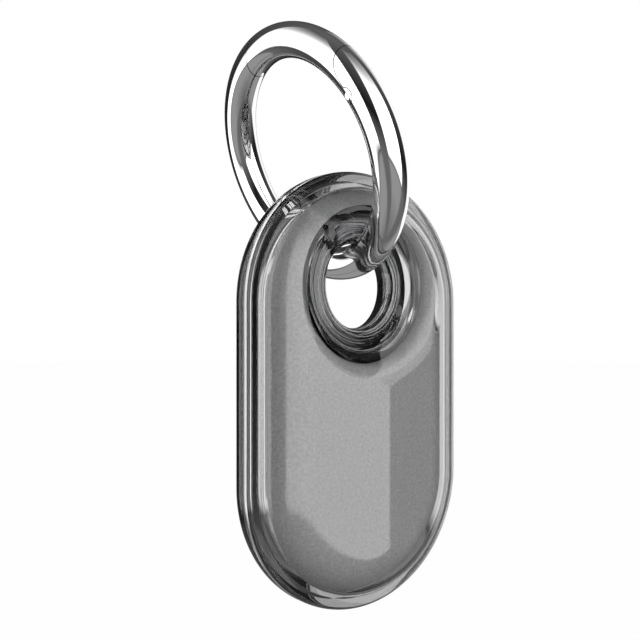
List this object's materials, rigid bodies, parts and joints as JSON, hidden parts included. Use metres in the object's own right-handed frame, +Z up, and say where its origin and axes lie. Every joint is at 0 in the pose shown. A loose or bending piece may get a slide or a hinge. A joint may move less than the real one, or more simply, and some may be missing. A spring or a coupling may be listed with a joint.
{
  "type": "tracker tag holder",
  "caption": "Clear pill-shaped case around a tracker tag, with a round hole near its top, hung on a round metal ring with a sprung gate.",
  "frame": {"origin": "centre of the ring's eye", "axes": "+Z up along the hanging case, -Y towards the case's front face, +X to the case's right seen from its front; the ring leans 22 degrees from the YZ plane towards -X"},
  "size_m": [0.0355, 0.035, 0.0774],
  "materials": {
    "polished_ring": "mirror polish",
    "steel": "satin",
    "smoked_clear": "gloss, clear with a grey tint",
    "satin_grey": "satin with a fine speckle",
    "tray_grey": "satin",
    "seal_rubber": "matt",
    "contact_metal": "plated",
    "board_green": "satin",
    "chip_black": "matt",
    "ceramic_tan": "matt",
    "ceramic_white": "matt",
    "coil_copper": "enamelled copper"
  },
  "bodies": {
    "ring": {"ring_body": "polished_ring", "gate_hinge_pin": "polished_ring"},
    "gate": {"ring_gate": "polished_ring", "gate_spring": "steel"},
    "plunger": {"gate_plunger": "steel"},
    "liner": {"hole_liner": "smoked_clear"},
    "case": {"front_shell": "smoked_clear", "rear_shell": "smoked_clear", "tag_front_cover": "satin_grey", "tag_rear_cover": "satin_grey", "cover_seal": "seal_rubber", "battery_tray": "tray_grey", "tray_seal": "seal_rubber", "coin_cell": "steel", "positive_contact": "contact_metal", "negative_contact": "contact_metal", "circuit_board": "board_green", "radio_chip": "chip_black", "ranging_chip": "chip_black", "clock_crystal": "steel", "board_passives": "ceramic_tan", "bluetooth_antenna": "ceramic_white", "ranging_antenna": "ceramic_white", "near_field_coil": "coil_copper", "sounder": "chip_black", "push_switch": "steel"},
    "button": {"button_pad": "seal_rubber", "switch_stem": "chip_black"}
  },
  "joints": [
    {"name": "gate_hinge", "type": "hinge", "parent": "ring", "child": "gate", "pos_m": [-0.00223, -0.01338, 0.00552], "axis": [-0.9272, 0, -0.3746], "range_deg": [0, 32], "stiffness_Nm_per_rad": 0.02, "springref_deg": -20.05},
    {"name": "plunger_slide", "type": "slide", "parent": "gate", "child": "plunger", "axis": [-0.3422, 0.4067, 0.847], "range_m": [0, 0.0006], "deforming": ["gate_spring"]},
    {"name": "ring_turn", "type": "hinge", "parent": "ring", "child": "liner", "pos_m": [0, 0, 0], "axis": [0.9272, 0, 0.3746], "range_deg": [-60, 60]},
    {"name": "case_swing", "type": "hinge", "parent": "liner", "child": "case", "pos_m": [0.00596, -0.00177, -0.01734], "axis": [0, 1, 0], "range_deg": [-90, 90]},
    {"name": "button_press", "type": "slide", "parent": "case", "child": "button", "axis": [0, 1, 0], "range_m": [0, 0.00025], "stiffness_N_per_m": 400}
  ],
  "couplings": [
    {"joint": "plunger_slide", "follows": "gate_hinge", "m_per_rad": 0.0009}
  ]
}
